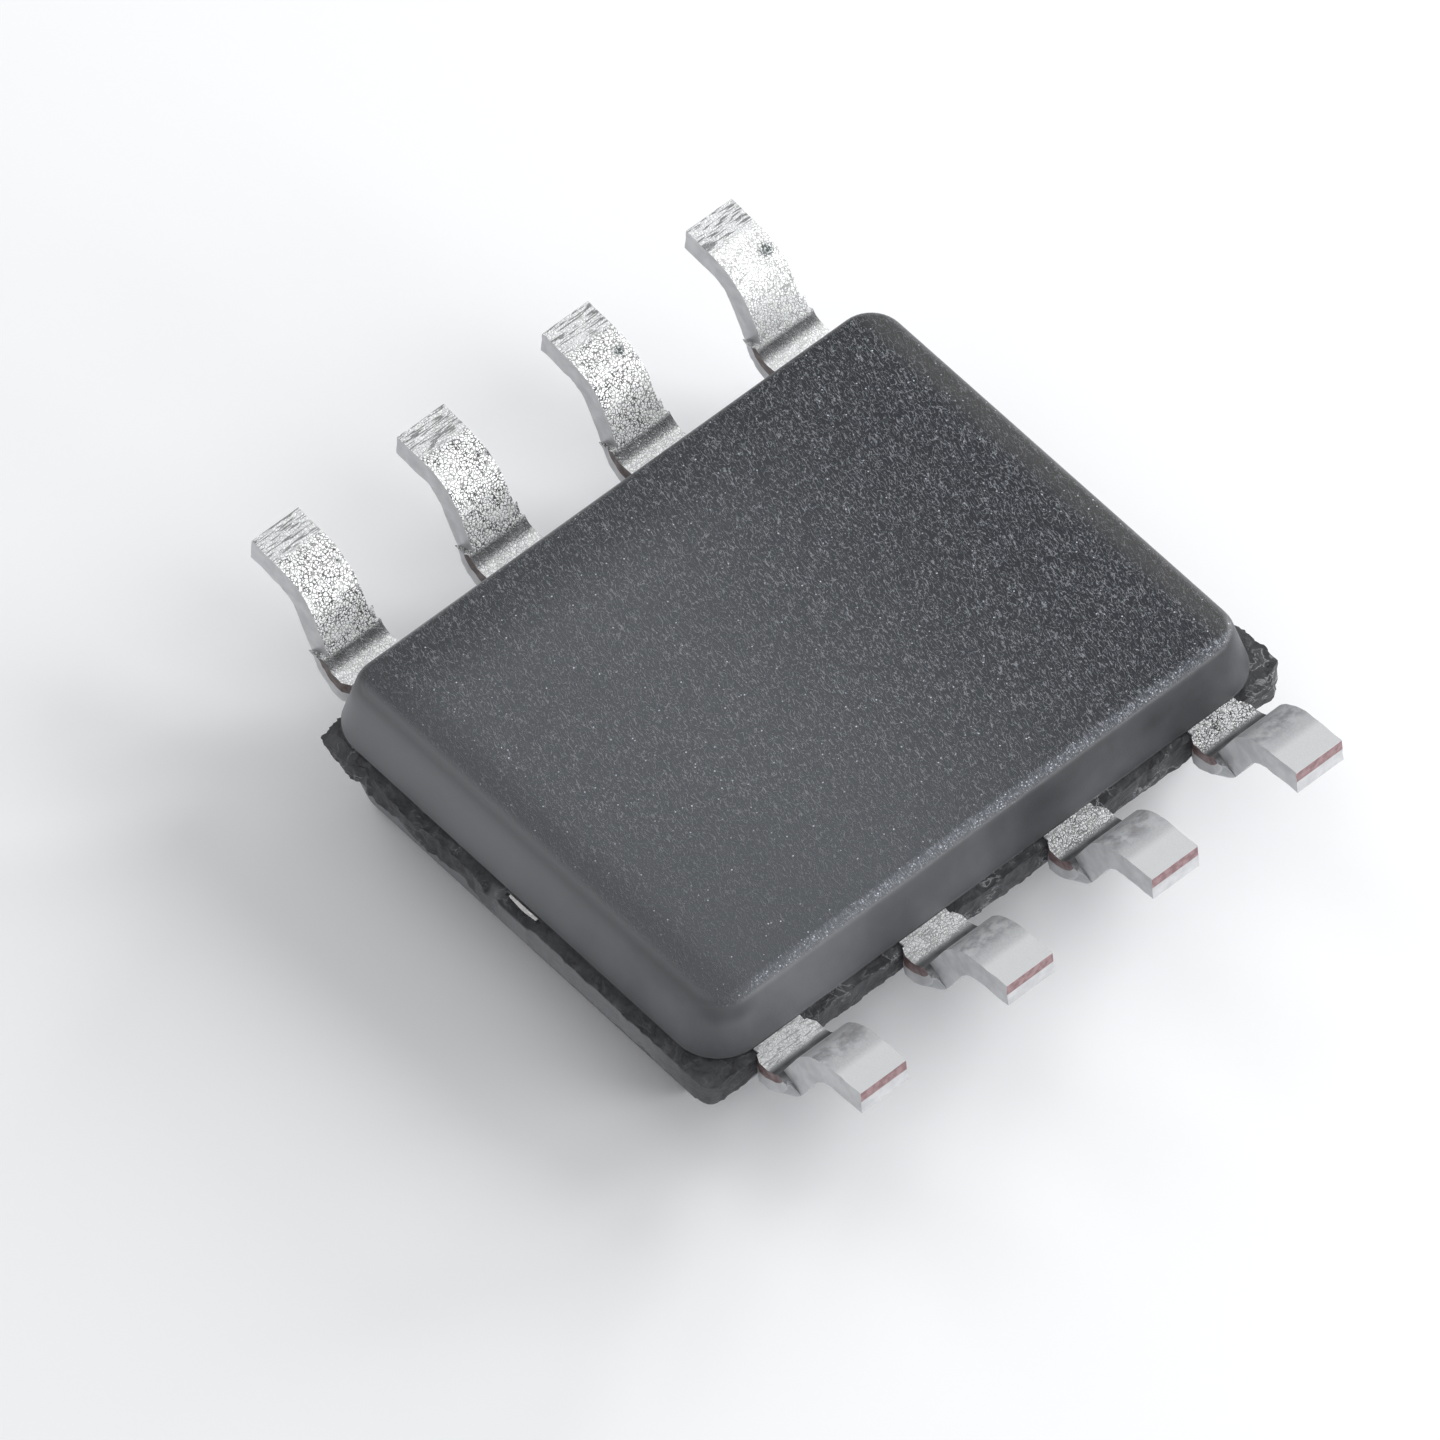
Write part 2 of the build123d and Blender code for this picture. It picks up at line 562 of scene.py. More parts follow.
@dataclass(frozen=True)
class Crinkle(Pattern):
    """Network of fine dark grooves between bright grains, for matte plated and drawn metal."""

    name: str = "crinkle"
    inputs: tuple[tuple[str, float], ...] = (("Size", 25000.0), ("Width", 0.1), ("Warp", 0.6))
    outputs: tuple[str, ...] = ("Height", "Grooves", "Tone")

    def draw(self, graph: Graph, source: Any) -> tuple[Any, ...]:
        """Add the nodes of the pattern.

        Args:
            graph: The group's graph.
            source: What the group takes in, by name.

        Returns:
            Height, grooves and tone.
        """
        vector, size, width = source["Vector"], source["Size"], source["Width"]
        swirl = graph.add("ShaderNodeTexNoise", {"Vector": vector, "Scale": size, "Detail": 2.0,
                                                 "Distortion": 0.6})
        warped = graph.vector("ADD", graph.vector("MULTIPLY", vector, size)[0],
                              graph.vector("MULTIPLY", swirl["Color"], source["Warp"])[0])[0]
        edge = graph.add("ShaderNodeTexVoronoi", {"Vector": warped, "Scale": 1.0}, feature="DISTANCE_TO_EDGE")
        cell = graph.add("ShaderNodeTexVoronoi", {"Vector": warped, "Scale": 1.0})
        groove = graph.math("DIVIDE", graph.minus(width, edge["Distance"]), width, clamp=True)
        height = graph.minus(graph.times(swirl[0], 0.6), groove)
        return height, groove, graph.channels(cell["Color"])[0]


class Finish:
    """A material with one Principled shader, which each finish paints in its own way.

    Ranges that a finish names are places in millimetres along the axis that their comment gives.
    """

    name: str

    def paint(self, graph: Surface) -> None:
        """Add the nodes of the finish.

        Args:
            graph: The graph of its material.
        """
        raise NotImplementedError

    def material(self) -> bpy.types.Material:
        """Build the material.

        Returns:
            The new material.
        """
        material = bpy.data.materials.new(self.name)
        material.use_nodes = True
        self.paint(Surface(material))
        return material


@dataclass(frozen=True)
class Compound(Finish):
    """Charcoal epoxy compound: speckled belly, smooth walls made greyer by painted light, torn flash with
    pale edges.
    """

    name: str = "charcoal compound"
    # Belly, along Z and then along X
    belly_rise: Range = (1.235, 1.266)
    belly_start: Range = (-2.29, -2.20)
    # Painted light: the lit colours make the belly paler towards -X, and pits_far makes its far side darker.
    pits_dim: Colour = (0.006, 0.008, 0.013)
    pits_lit: Colour = (0.072, 0.078, 0.087)
    pits_far: Colour = (0.006, 0.008, 0.011)
    pits_end: Colour = (0.042, 0.043, 0.044)
    # The strokes follow the belly's texture; their pale colour is painted highlight off its tiny bumps.
    stroke_highlights_dim: Colour = (0.255, 0.270, 0.295)
    stroke_highlights_lit: Colour = (0.21, 0.22, 0.235)
    painted_light_run: Range = (1.9, -1.0)
    end_run: Range = (2.06, 2.24)
    start_run: Range = (-2.25, -1.95)
    start_waviness: float = 0.3
    stroke_scale: float = 54000.0
    stroke_width: float = 0.037
    glint: Colour = (0.72, 0.76, 0.84)
    # Belly, along Y, and along a line between X and Y
    far_run: Range = (1.1, 1.75)
    crisp_run: Range = (-2.6, -0.6)
    # Rim of the belly, along Z, with the painted highlight of its near stretch along Y and X
    rim_rise: Range = (1.225, 1.245)
    rim_fall: Range = (1.2695, 1.262)
    highlight_rise: Range = (1.225, 1.242)
    highlight_side: Range = (-1.73, -1.78)
    highlight_run: Range = (-2.3, -1.2)
    rim_highlight: Colour = (0.28, 0.30, 0.34)
    # Dark border at the -X end of the belly, along X and then along Z
    border_start: Range = (-2.38, -2.28)
    border_end: Range = (-1.93, -2.15)
    border_rise: Range = (1.08, 1.18)
    border: Colour = (0.040, 0.042, 0.047)
    # Walls, with painted light along X and Y, and on the lower part of the near wall along Y and Z
    walls_dim: Colours = ((0.036, 0.038, 0.042), (0.062, 0.065, 0.071))
    walls_lit: Colours = ((0.120, 0.124, 0.133), (0.150, 0.155, 0.165))
    walls_far_lit: Colour = (0.185, 0.191, 0.202)
    wall_light_run: Range = (1.6, -2.42)
    far_wall_light_run: Range = (-1.3, 0.4)
    near_wall: Range = (-1.84, -1.90)
    near_foot: Range = (1.14, 0.92)
    # Flash, along Z, its crumbs along X and Y, and its smooth side, paler by painted light, along Z, X and Y
    flash_top: Range = (0.855, 0.843)
    flash_floor: Range = (0.625, 0.637)
    tears: Colours = ((0.024, 0.025, 0.028), (0.048, 0.050, 0.054))
    crumb: Colour = (0.33, 0.34, 0.35)
    near_crumbs: Range = (-2.0, -0.8)
    end_crumbs: Range = (-0.3, 0.3)
    side: Colour = (0.20, 0.206, 0.215)
    side_fall: Range = (0.835, 0.81)
    side_out: Range = (-2.44, -2.50)
    side_start: Range = (0.5, -0.2)
    side_end: Range = (-2.0, -1.2)

    def paint(self, graph: Surface) -> None:
        """Add the nodes of belly, walls and flash and lay them over each other.

        Args:
            graph: The graph of its material.
        """
        x, y, z = graph.axes
        rim = graph.times(graph.step(z, self.rim_rise), graph.step(z, self.rim_fall))
        # Painted highlight: the rounded rim gets extra glints, and frosted marks the near stretch that is
        # painted pale as well.
        rim_highlight_mask = graph.times(graph.step(y, self.highlight_side), graph.step(z, self.highlight_rise))
        glints = graph.plus(graph.span(rim, to=(0.03, 0.10)), graph.times(rim_highlight_mask, 0.45))
        grain = Speckle().put(graph, graph.place, {"Size": self.stroke_scale, "Stroke": self.stroke_width,
                                                   "Glint": glints})
        cloud = graph.noise(graph.place, 0.5, 3.0, 0.55)
        belly = graph.times(graph.step(z, self.belly_rise), graph.step(x, self.belly_start))
        skin = graph.mix(belly, self.walls(graph, cloud), self.belly(graph, cloud, grain, rim_highlight_mask))
        border = graph.times(graph.step(x, self.border_start), graph.step(x, self.border_end),
                             graph.step(z, self.border_rise, (0.0, 0.55)))
        skin = graph.mix(border, skin, self.border)
        flash = graph.times(graph.step(z, self.flash_top), graph.step(z, self.flash_floor))
        tear = graph.noise(graph.stretch(graph.place, (1.0, 1.0, 1.6)), 0.10, 3.0, 0.55, 0.5)
        base = graph.mix(flash, skin, self.flash(graph, tear))
        rough = graph.minus(graph.span(belly, to=(0.5, 0.6)), graph.times(rim, 0.2))
        relief = graph.plus(graph.times(grain["Height"], graph.span(belly, to=(0.12, 1.0))),
                            graph.times(tear, flash, 3.2))
        graph.shader.inputs["Specular IOR Level"].default_value = 0.34
        graph.coat(base, rough, relief, strength=0.55, depth=0.010)

    def belly(self, graph: Surface, cloud: Any, grain: Any, rim_highlight_mask: Any) -> Any:
        """Paint the belly: strokes and glints over dark pits, sharper towards +X, with painted light that
        makes it paler towards -X and darker towards the far side.

        Args:
            graph: The graph of the material.
            cloud: Soft noise.
            grain: Outputs of the speckle.
            rim_highlight_mask: Mask of the painted highlight on the rim along the near side.

        Returns:
            Its colour.
        """
        x, y, _ = graph.axes
        # Painted light: worn is the share of the paler colours towards -X; the far side is painted darker.
        worn = graph.step(x, self.painted_light_run)
        end = graph.step(x, self.end_run)
        pits = graph.mix(worn, self.pits_dim, self.pits_lit)
        pits = graph.mix(graph.step(y, self.far_run, (0.0, 0.65)), pits, self.pits_far)
        pits = graph.mix(end, pits, self.pits_end)
        # The strokes follow the belly's texture, and their pale colour is painted highlight off its tiny
        # bumps.
        strokes = graph.mix(worn, self.stroke_highlights_dim, self.stroke_highlights_lit)
        start = graph.plus(x, graph.times(cloud, self.start_waviness * MM))
        crisp = graph.times(graph.step(graph.plus(graph.times(x, 0.5), y), self.crisp_run, (0.30, 1.0)),
                            graph.step(start, self.start_run), graph.span(end, to=(1.0, 0.45)))
        base = graph.mix(graph.times(grain["Strokes"], crisp), pits, strokes)
        # Painted highlight: the near rim is mixed towards frost.
        rim_highlight = graph.times(rim_highlight_mask, graph.span(grain["Height"], (0.2, 0.6), (0.15, 0.8)),
                            graph.step(x, self.highlight_run, (0.35, 1.0)))
        return graph.mix(grain["Glints"], graph.mix(rim_highlight, base, self.rim_highlight), self.glint)

    def walls(self, graph: Surface, cloud: Any) -> Any:
        """Paint the walls with painted light: deep at the +X end, paler towards -X, the far side and the foot
        of the near wall.

        Args:
            graph: The graph of the material.
            cloud: Soft noise.

        Returns:
            Their colour.
        """
        x, y, z = graph.axes
        deep = graph.mix(graph.span(cloud, (0.35, 0.65)), *self.walls_dim)
        pale = graph.mix(graph.span(cloud, (0.3, 0.7)), *self.walls_lit)
        pale = graph.mix(graph.step(y, self.far_wall_light_run), pale, self.walls_far_lit)
        # Painted light: deep at the +X end, pale towards -X and the far side.
        wall_light = graph.mix(graph.step(x, self.wall_light_run), deep, pale)
        # Painted light: the lower part of the near wall is paler.
        foot = graph.times(graph.step(y, self.near_wall), graph.step(z, self.near_foot, (0.0, 0.30)))
        return graph.mix(foot, wall_light, pale)

    def flash(self, graph: Surface, tear: Any) -> Any:
        """Paint the flash: dark tears with pale crumbs, and the smooth side of the -X end, made paler by
        painted light.

        Args:
            graph: The graph of the material.
            tear: The noise that its tears follow.

        Returns:
            Its colour.
        """
        x, y, z = graph.axes
        torn = graph.mix(graph.span(tear, (0.3, 0.7)), *self.tears)
        edges = graph.minus(1.0, graph.times(graph.away(tear, 0.53), 34.0), clamp=True)
        patches = graph.span(graph.noise(graph.place, 0.25), (0.47, 0.61))
        share = graph.larger(graph.step(x, self.near_crumbs, (0.15, 0.75)),
                             graph.step(y, self.end_crumbs, (0.0, 0.5)))
        torn = graph.mix(graph.times(edges, patches, share), torn, self.crumb)
        # Painted light: the side face of the -X end is paler than the torn top.
        side = graph.times(graph.step(z, self.side_fall), graph.step(x, self.side_out),
                           graph.step(y, self.side_start), graph.step(y, self.side_end, (0.25, 1.0)), 0.8)
        return graph.mix(side, torn, self.side)


@dataclass(frozen=True)
class Zones:
    """Where on a lead a place is: its distance from the middle of the body, and masks of the parts."""

    run: Any
    foot: Any
    shoulder: Any
    far: Any


@dataclass(frozen=True)
class TinPlate(Finish):
    """Matte tin over copper alloy, with bare copper where the lead frame was cut."""

    name: str = "matte tin plate"
    groove_scale: float = 42000.0
    groove_width: float = 0.165
    groove_warp: float = 1.2
    # Parts of a lead, by distance from the middle of the body, and the far row along Y
    shoulder_run: Range = (2.20, 2.12)
    foot_run: Range = (2.72, 2.80)
    tip_run: Range = (2.85, 2.95)
    far_side: Range = (-0.1, 0.1)
    # Marks, fading along X
    near_fade: Range = (-2.2, 2.0)
    far_fade: Range = (0.2, 2.0)
    mark: Colour = (0.035, 0.035, 0.037)
    # Painted reflection of the body on the near row, by distance from the middle of the body and along Z
    reflection_rise: Range = (2.26, 2.42)
    reflection_fall: Range = (2.74, 2.58)
    leg_fade: Range = (2.62, 2.34)
    leg_rise: Range = (1.18, 1.28)
    bright: Colours = ((0.90, 0.91, 0.92), (0.99, 1.0, 1.0))
    dull: Colours = ((0.42, 0.43, 0.445), (0.17, 0.17, 0.18))
    sole: Colour = (0.62, 0.63, 0.64)
    bend_shade: Colours = ((0.075, 0.077, 0.080), (0.15, 0.153, 0.158))
    sheared: Colours = ((0.50, 0.505, 0.52), (0.62, 0.625, 0.64))
    brown_copper: Colours = ((0.075, 0.052, 0.050), (0.150, 0.115, 0.112))
    pink_copper: Colours = ((0.22, 0.125, 0.130), (0.34, 0.22, 0.23))
    # Scorched spots: place and radius of each
    stains: tuple[tuple[float, float, float, float], ...] = (
        (2.03, 2.56, 1.360, 0.085), (0.745, 2.58, 1.370, 0.065), (-0.43, 2.54, 1.350, 0.045),
        (-1.76, 2.54, 1.350, 0.030),
    )
    stain: Colour = (0.050, 0.066, 0.066)

    def paint(self, graph: Surface) -> None:
        """Add the nodes of the tin, its marks and the bare metal.

        Args:
            graph: The graph of its material.
        """
        crinkle = Crinkle().put(graph, graph.place, {"Size": self.groove_scale, "Width": self.groove_width,
                                                     "Warp": self.groove_warp})
        surface = graph.add("ShaderNodeAttribute", attribute_name="surface", attribute_type="GEOMETRY")
        plated, copper, bend = graph.channels(surface["Color"])
        x, y, _ = graph.axes
        run = graph.math("ABSOLUTE", y)
        zones = Zones(run, graph.step(run, self.foot_run), graph.step(run, self.shoulder_run),
                      graph.step(y, self.far_side))
        smear = graph.noise(graph.place, 0.12, 3.0, 0.6)
        patches = graph.span(smear, (0.3, 0.7))
        crisp = graph.larger(zones.far, graph.larger(
            graph.times(zones.shoulder, graph.step(x, self.near_fade, (0.35, 1.0))), 0.10))
        tin = graph.mix(graph.span(crinkle["Tone"]), *self.bright)
        worn = graph.span(graph.larger(zones.far, graph.times(zones.shoulder, 0.6)), (1, 0))
        tin = graph.mix(worn, tin, self.dulled(graph, zones, smear))
        tin = graph.mix(graph.times(zones.foot, 0.7), tin, self.sole)
        lines = graph.times(graph.span(crinkle["Grooves"], (0.15, 0.7)),
                            graph.span(smear, (0.25, 0.6), (0.5, 1.0)), crisp)
        tin = graph.mix(self.marks(graph, zones, lines), tin, self.mark)
        tin = graph.mix(self.stained(graph), tin, self.stain)
        tin = graph.mix(bend, tin, graph.mix(patches, *self.bend_shade))
        metal = graph.mix(plated, graph.mix(patches, *self.sheared), tin)
        metal = graph.mix(graph.span(copper, (0.10, 0.35)), metal, self.bare(graph, zones))
        rough = graph.minus(graph.span(plated, to=(0.38, 0.50)), graph.times(bend, 0.15))
        graph.shader.inputs["Metallic"].default_value = 0.35
        graph.coat(metal, rough, graph.times(crinkle["Height"], plated, crisp), strength=0.5, depth=0.008)

    def dulled(self, graph: Surface, zones: Zones, smear: Any) -> Any:
        """Paint the near row, whose upper legs and heels are darkened in patches by a painted reflection of
        the body.

        Args:
            graph: The graph of the material.
            zones: Where on the lead the place is.
            smear: Soft noise.

        Returns:
            Its colour.
        """
        # Painted reflection: patches of the dark body on the upper legs and heels.
        heel_reflection = graph.times(graph.step(zones.run, self.reflection_rise), graph.step(zones.run, self.reflection_fall),
                             graph.span(smear, (0.36, 0.66)), 0.8)
        heel_reflection = graph.larger(heel_reflection, graph.step(zones.run, self.leg_fade, (0.0, 0.7)))
        return graph.mix(graph.times(heel_reflection, graph.step(graph.axes[2], self.leg_rise)), *self.dull)

    def marks(self, graph: Surface, zones: Zones, lines: Any) -> Any:
        """Draw the dark marks: grooves between the grains, and streaks on the feet and shoulders.

        Args:
            graph: The graph of the material.
            zones: Where on the lead the place is.
            lines: Mask of the grooves.

        Returns:
            Their mask.
        """
        lines = graph.times(lines, graph.span(graph.times(zones.shoulder, zones.far), to=(1.0, 0.4)),
                            graph.step(graph.times(graph.axes[0], zones.far), self.far_fade, (1.0, 0.6)),
                            graph.span(zones.foot, to=(1.0, 0.35)))
        streak = graph.noise(graph.stretch(graph.place, (0.10, 1.0, 1.0)), 0.011, 1.0)
        streaks = graph.times(graph.span(streak, (0.50, 0.60)), zones.foot, zones.far)
        drag = graph.noise(graph.stretch(graph.place, (0.2, 1.0, 1.0)), 0.02, 2.0, 0.6, 0.6)
        dragged = graph.times(graph.span(drag, (0.52, 0.60)), zones.shoulder,
                              graph.span(zones.far, to=(0.7, 0.35)))
        return graph.larger(lines, graph.times(graph.larger(streaks, dragged), 0.75))

    def stained(self, graph: Surface) -> Any:
        """Draw the few small scorched spots on the far leads.

        Args:
            graph: The graph of the material.

        Returns:
            Their mask.
        """
        scratch = graph.noise(graph.stretch(graph.place, (1.0, 0.5, 1.0)), 0.011, 1.0, 0.5, 1.0)
        mask = 0.0
        for x, y, z, radius in self.stains:
            away = graph.vector("DISTANCE", graph.place, (x * MM, y * MM, z * MM))["Value"]
            mask = graph.larger(mask, graph.step(away, (radius, 0.3 * radius)))
        return graph.times(mask, graph.span(scratch, (0.40, 0.52), (0.15, 1.0)))

    def bare(self, graph: Surface, zones: Zones) -> Any:
        """Paint the bare copper: pink at the tips, pinkish on the near stubs, brown on the far ones.

        Args:
            graph: The graph of the material.
            zones: Where on the lead the place is.

        Returns:
            Its colour.
        """
        pink = graph.larger(graph.step(zones.run, self.tip_run), graph.span(zones.far, (1, 0), (0.0, 0.45)))
        patchy = graph.span(graph.noise(graph.place, 0.05, 3.0), (0.35, 0.65))
        return graph.mix(patchy, *(graph.mix(pink, brown, rosy)
                                   for brown, rosy in zip(self.brown_copper, self.pink_copper)))


@dataclass(frozen=True)
class DrawnMetal(Finish):
    """Rolled or drawn metal with a faint grain, for the paddle and the bond wires."""

    name: str = "rolled copper alloy"
    dark: Colour = (0.55, 0.27, 0.17)
    bright: Colour = (0.78, 0.48, 0.34)
    sheared: Colour = (0.50, 0.49, 0.49)
    sheared_from: Range = (2.40, 2.44)

    def paint(self, graph: Surface) -> None:
        """Add the nodes of the metal, greyer where the tie bars were cut.

        Args:
            graph: The graph of its material.
        """
        crinkle = Crinkle().put(graph, graph.stretch(graph.place, (0.25, 1.0, 1.0)))
        tone = graph.span(crinkle["Tone"])
        out = graph.math("ABSOLUTE", graph.axes[0])
        base = graph.mix(graph.step(out, self.sheared_from), graph.mix(tone, self.dark, self.bright),
                         self.sheared)
        graph.shader.inputs["Metallic"].default_value = 1.0
        graph.coat(base, graph.span(tone, to=(0.3, 0.42)), crinkle["Height"], strength=0.3, depth=0.003)


@dataclass(frozen=True)
class FilledEpoxy(Finish):
    """Silver-filled adhesive under the die."""

    name: str = "silver-filled epoxy"
    paste: Colour = (0.42, 0.42, 0.41)
    flakes: Colour = (0.80, 0.80, 0.79)

    def paint(self, graph: Surface) -> None:
        """Add the nodes of the adhesive.

        Args:
            graph: The graph of its material.
        """
        grain = Speckle().put(graph, graph.place)
        base = graph.mix(grain["Glints"], self.paste, self.flakes)
        rough = graph.span(grain["Height"], (0.2, 0.8), (0.45, 0.65))
        graph.coat(base, rough, grain["Height"], strength=0.4, depth=0.006)


@dataclass(frozen=True)
class Silicon(Finish):
    """Polished silicon with the faint relief of its top layers."""

    name: str = "polished silicon"
    block: float = 0.09
    dark: Colour = (0.10, 0.11, 0.14)
    light: Colour = (0.19, 0.19, 0.22)

    def paint(self, graph: Surface) -> None:
        """Add the nodes of the silicon.

        Args:
            graph: The graph of its material.
        """
        blocks = graph.add("ShaderNodeTexVoronoi", {"Vector": graph.stretch(graph.place, (1.0, 0.6, 1.0)),
                                                    "Scale": 1 / (self.block * MM)})
        tone = graph.channels(blocks["Color"])[0]
        base = graph.mix(tone, self.dark, self.light)
        graph.coat(base, graph.span(tone, to=(0.12, 0.25)), tone, strength=0.15, depth=0.002)


@dataclass(frozen=True)
class Paper(Finish):
    """White paper, hardly uneven, for the floor."""

    name: str = "white paper"
    shades: Colours = ((0.940, 0.950, 0.968), (0.950, 0.958, 0.975))

    def paint(self, graph: Surface) -> None:
        """Add the nodes of the paper.

        Args:
            graph: The graph of its material.
        """
        base = graph.mix(graph.noise(graph.place, 8.0), *self.shades)
        graph.feed(graph.shader, {"Base Color": base, "Roughness": 0.9, "Specular IOR Level": 0.1})


@dataclass
class Moulding:
    """The body of compound: two drafted halves and the ledge of flash round the parting plane.

    Each reach is a table of how much of its full width the ledge keeps, along one side.
    """

    length: float = 4.90
    width: float = 3.90
    floor: float = 0.64
    top: float = 0.84
    belly: float = 1.27
    draft: float = 15.0
    corner: float = 0.35
    belly_edge: float = 0.08
    marked_edge: float = 0.12
    bevel: float = 0.30
    index_radius: float = 0.25
    index_depth: float = 0.05
    index_from_end: float = 0.60
    index_from_bevel: float = 0.50
    index_round: float = 0.012
    end_flash: float = 0.11
    side_flash: float = 0.08
    flash_corner: float = 0.10
    corner_steps: int = 10
    edge_steps: int = 5
    layers: int = 5
    rings: int = 3
    ring_width: float = 0.03
    rim_cuts: int = 12
    rim_step: float = 0.2
    root: float = 0.05
    lead_places: tuple[float, ...] = (-1.905, -0.635, 0.635, 1.905)
    seat_half: float = 0.28
    seat_thickness: float = 0.86
    even_chips: float = 0.06
    rough_chips: float = 0.13
    thinning: float = 0.22
    left_reach: Table = (
        (-2.03, 0.95), (-0.35, 0.93), (0.22, 0.93), (0.40, 0.80), (0.58, 0.76), (0.87, 0.94), (1.19, 0.82),
        (1.38, 0.80), (1.434, 0.60), (1.49, 0.84), (1.54, 0.89), (1.72, 0.83), (1.90, 0.76), (1.95, 0.42),
        (2.03, 0.38),
    )
    right_reach: Table = (
        (-2.03, 0.80), (-1.92, 0.85), (-1.80, 0.97), (-1.70, 0.88), (-1.58, 0.76), (-1.48, 0.68),
        (2.03, 0.66),
    )
    near_reach: Table = (
        (-2.56, 0.97), (-2.20, 0.90), (2.15, 0.90), (2.25, 1.00), (2.40, 1.00), (2.47, 0.76), (2.56, 0.74),
    )
    far_reach: Table = ((-2.56, 0.40), (-2.30, 0.26), (-2.15, 0.26), (-2.10, 0.80), (2.56, 0.70))
    flake: Range = (1.50, 1.86)
    flake_share: float = 0.28
    bar_middle: float = -0.10
    bar_half: float = 0.15
    bar_reach: float = 0.68
    dent: Range = (0.05, 0.20)
    dent_depth: float = 0.10

    def build(self) -> Piece:
        """Build the whole body.

        Returns:
            The finished piece.
        """
        body = self.halves()
        self.cut_bevel(body)
        self.cut_dimple(body)
        body.clean()
        body.combine(self.ledge(), Combine.JOIN)
        return body

    def marked_edge_y(self) -> float:
        """Where the marked face ends on the near side, at the foot of the pin-one bevel."""
        return -(self.width / 2 - self.floor * math.tan(math.radians(self.draft)) - self.bevel)

    def halves(self) -> Piece:
        """Model the two drafted halves from one rounded outline.

        Returns:
            Both halves in one piece.
        """
        body = Piece.start("moulded_body_skin", bpy.ops.mesh.primitive_plane_add, size=1)
        body.place((self.length, self.width, 1), (0, 0, self.floor))
        body.edit()
        bpy.ops.mesh.bevel(offset=self.corner, segments=self.corner_steps, affect="VERTICES")
        bpy.ops.mesh.select_all(action="SELECT")
        body.extrude((0, 0, self.top - self.floor))
        body.face_outwards()
        slope = math.tan(math.radians(self.draft))
        turn = math.tan(math.radians(90 - self.draft) / 2)
        for side, level, depth, edge in ((1, self.top, self.belly - self.top, self.belly_edge),
                                         (-1, self.floor, self.floor, self.marked_edge)):
            body.pick(Element.FACE, lambda f: f.normal.z * side > 0.9)
            bpy.ops.mesh.inset(thickness=depth * slope, depth=depth)
            flat = level + side * depth
            body.pick(Element.EDGE, lambda e: all(abs(v.co.z - flat) < 0.001 for v in e.verts))
            bpy.ops.mesh.bevel(offset=edge * turn, segments=self.edge_steps, affect="EDGES", profile=0.5)
        body.leave()
        return body

    def cut_bevel(self, body: Piece) -> None:
        """Cut the pin-one bevel along the marked face.

        Args:
            body: The two halves.
        """
        body.edit()
        bpy.ops.mesh.select_all(action="SELECT")
        bpy.ops.mesh.bisect(plane_co=(0, self.marked_edge_y(), 0), plane_no=(0, -1, -1), clear_outer=True,
                            use_fill=True)
        body.leave()

    def cut_dimple(self, body: Piece) -> None:
        """Sink the index dimple into the marked face.

        Args:
            body: The two halves.
        """
        inset = self.floor * math.tan(math.radians(self.draft))
        place = (self.length / 2 - inset - self.index_from_end,
                 self.marked_edge_y() + self.index_from_bevel, 0)
        dimple = Piece.start("dimple", bpy.ops.mesh.primitive_cylinder_add, vertices=64,
                             radius=self.index_radius, depth=2 * self.index_depth, location=place)
        dimple.edit()
        dimple.pick(Element.EDGE, lambda e: all(v.co.z > 0.01 for v in e.verts))
        bpy.ops.mesh.bevel(offset=self.index_round, segments=3, affect="EDGES")
        dimple.leave()
        dimple.place((1, 1, 1), place)
        body.combine(dimple, Combine.CUT)

    def ledge(self) -> Piece:
        """Model the flash as a slab whose rim is drawn in or out to the broken outline.

        Returns:
            The ledge.
        """
        ledge = Piece.start("ledge", bpy.ops.mesh.primitive_plane_add, size=1)
        ledge.place((self.length + 2 * self.end_flash, self.width + 2 * self.side_flash, 1),
                    (0, 0, self.floor))
        ledge.edit()
        bpy.ops.mesh.bevel(offset=self.flash_corner, segments=self.edge_steps, affect="VERTICES")
        for _ in range(2):
            ledge.pick(Element.EDGE, lambda e: e.calc_length() > self.rim_step)
            bpy.ops.mesh.subdivide(number_cuts=self.rim_cuts)
        bpy.ops.mesh.select_mode(type="FACE")
        bpy.ops.mesh.select_all(action="SELECT")
        ledge.extrude(*[(0, 0, (self.top - self.floor) / self.layers)] * self.layers)
        ledge.face_outwards()
        for side in (1, -1):
            ledge.pick(Element.FACE, lambda f: f.normal.z * side > 0.9)
            for _ in range(self.rings):
                bpy.ops.mesh.inset(thickness=self.ring_width)
        ledge.leave()
        ledge.move_verts(self.broken)
        return ledge

    def inner_point(self, point: Vector) -> Vector:
        """Find the nearest point on the outline that lies a little inside the body's wall.

        Args:
            point: A point of the ledge.

        Returns:
            The point inside, at the same height.
        """
        half_x, half_y = self.length / 2 - self.corner, self.width / 2 - self.corner
        core = Vector((max(-half_x, min(half_x, point.x)), max(-half_y, min(half_y, point.y)), point.z))
        out = point - core
        if out.length < 1e-6:
            return point
        return core + out.normalized() * min(self.corner - self.root, out.length)

    def reach(self, point: Vector) -> float:
        """Say how much of its full reach the ledge keeps at a place on the rim.

        Args:
            point: The place.

        Returns:
            A share of at most 1.
        """
        end, side = self.length / 2 - 0.01, self.width / 2 - 0.01
        shares = [share_at(table, place) for beyond, table, place in (
            (point.x < -end, self.left_reach, point.y), (point.x > end, self.right_reach, point.y),
            (point.y < -side, self.near_reach, point.x), (point.y > side, self.far_reach, point.x)) if beyond]
        chip = ripple(point, 11, 4, 3) + 0.7 * ripple(point, 29, 12, 9)
        rough = self.even_chips if point.x < -end and point.y < self.dent[1] else self.rough_chips
        return min(1.0, min(shares, default=0.8) + rough * chip)

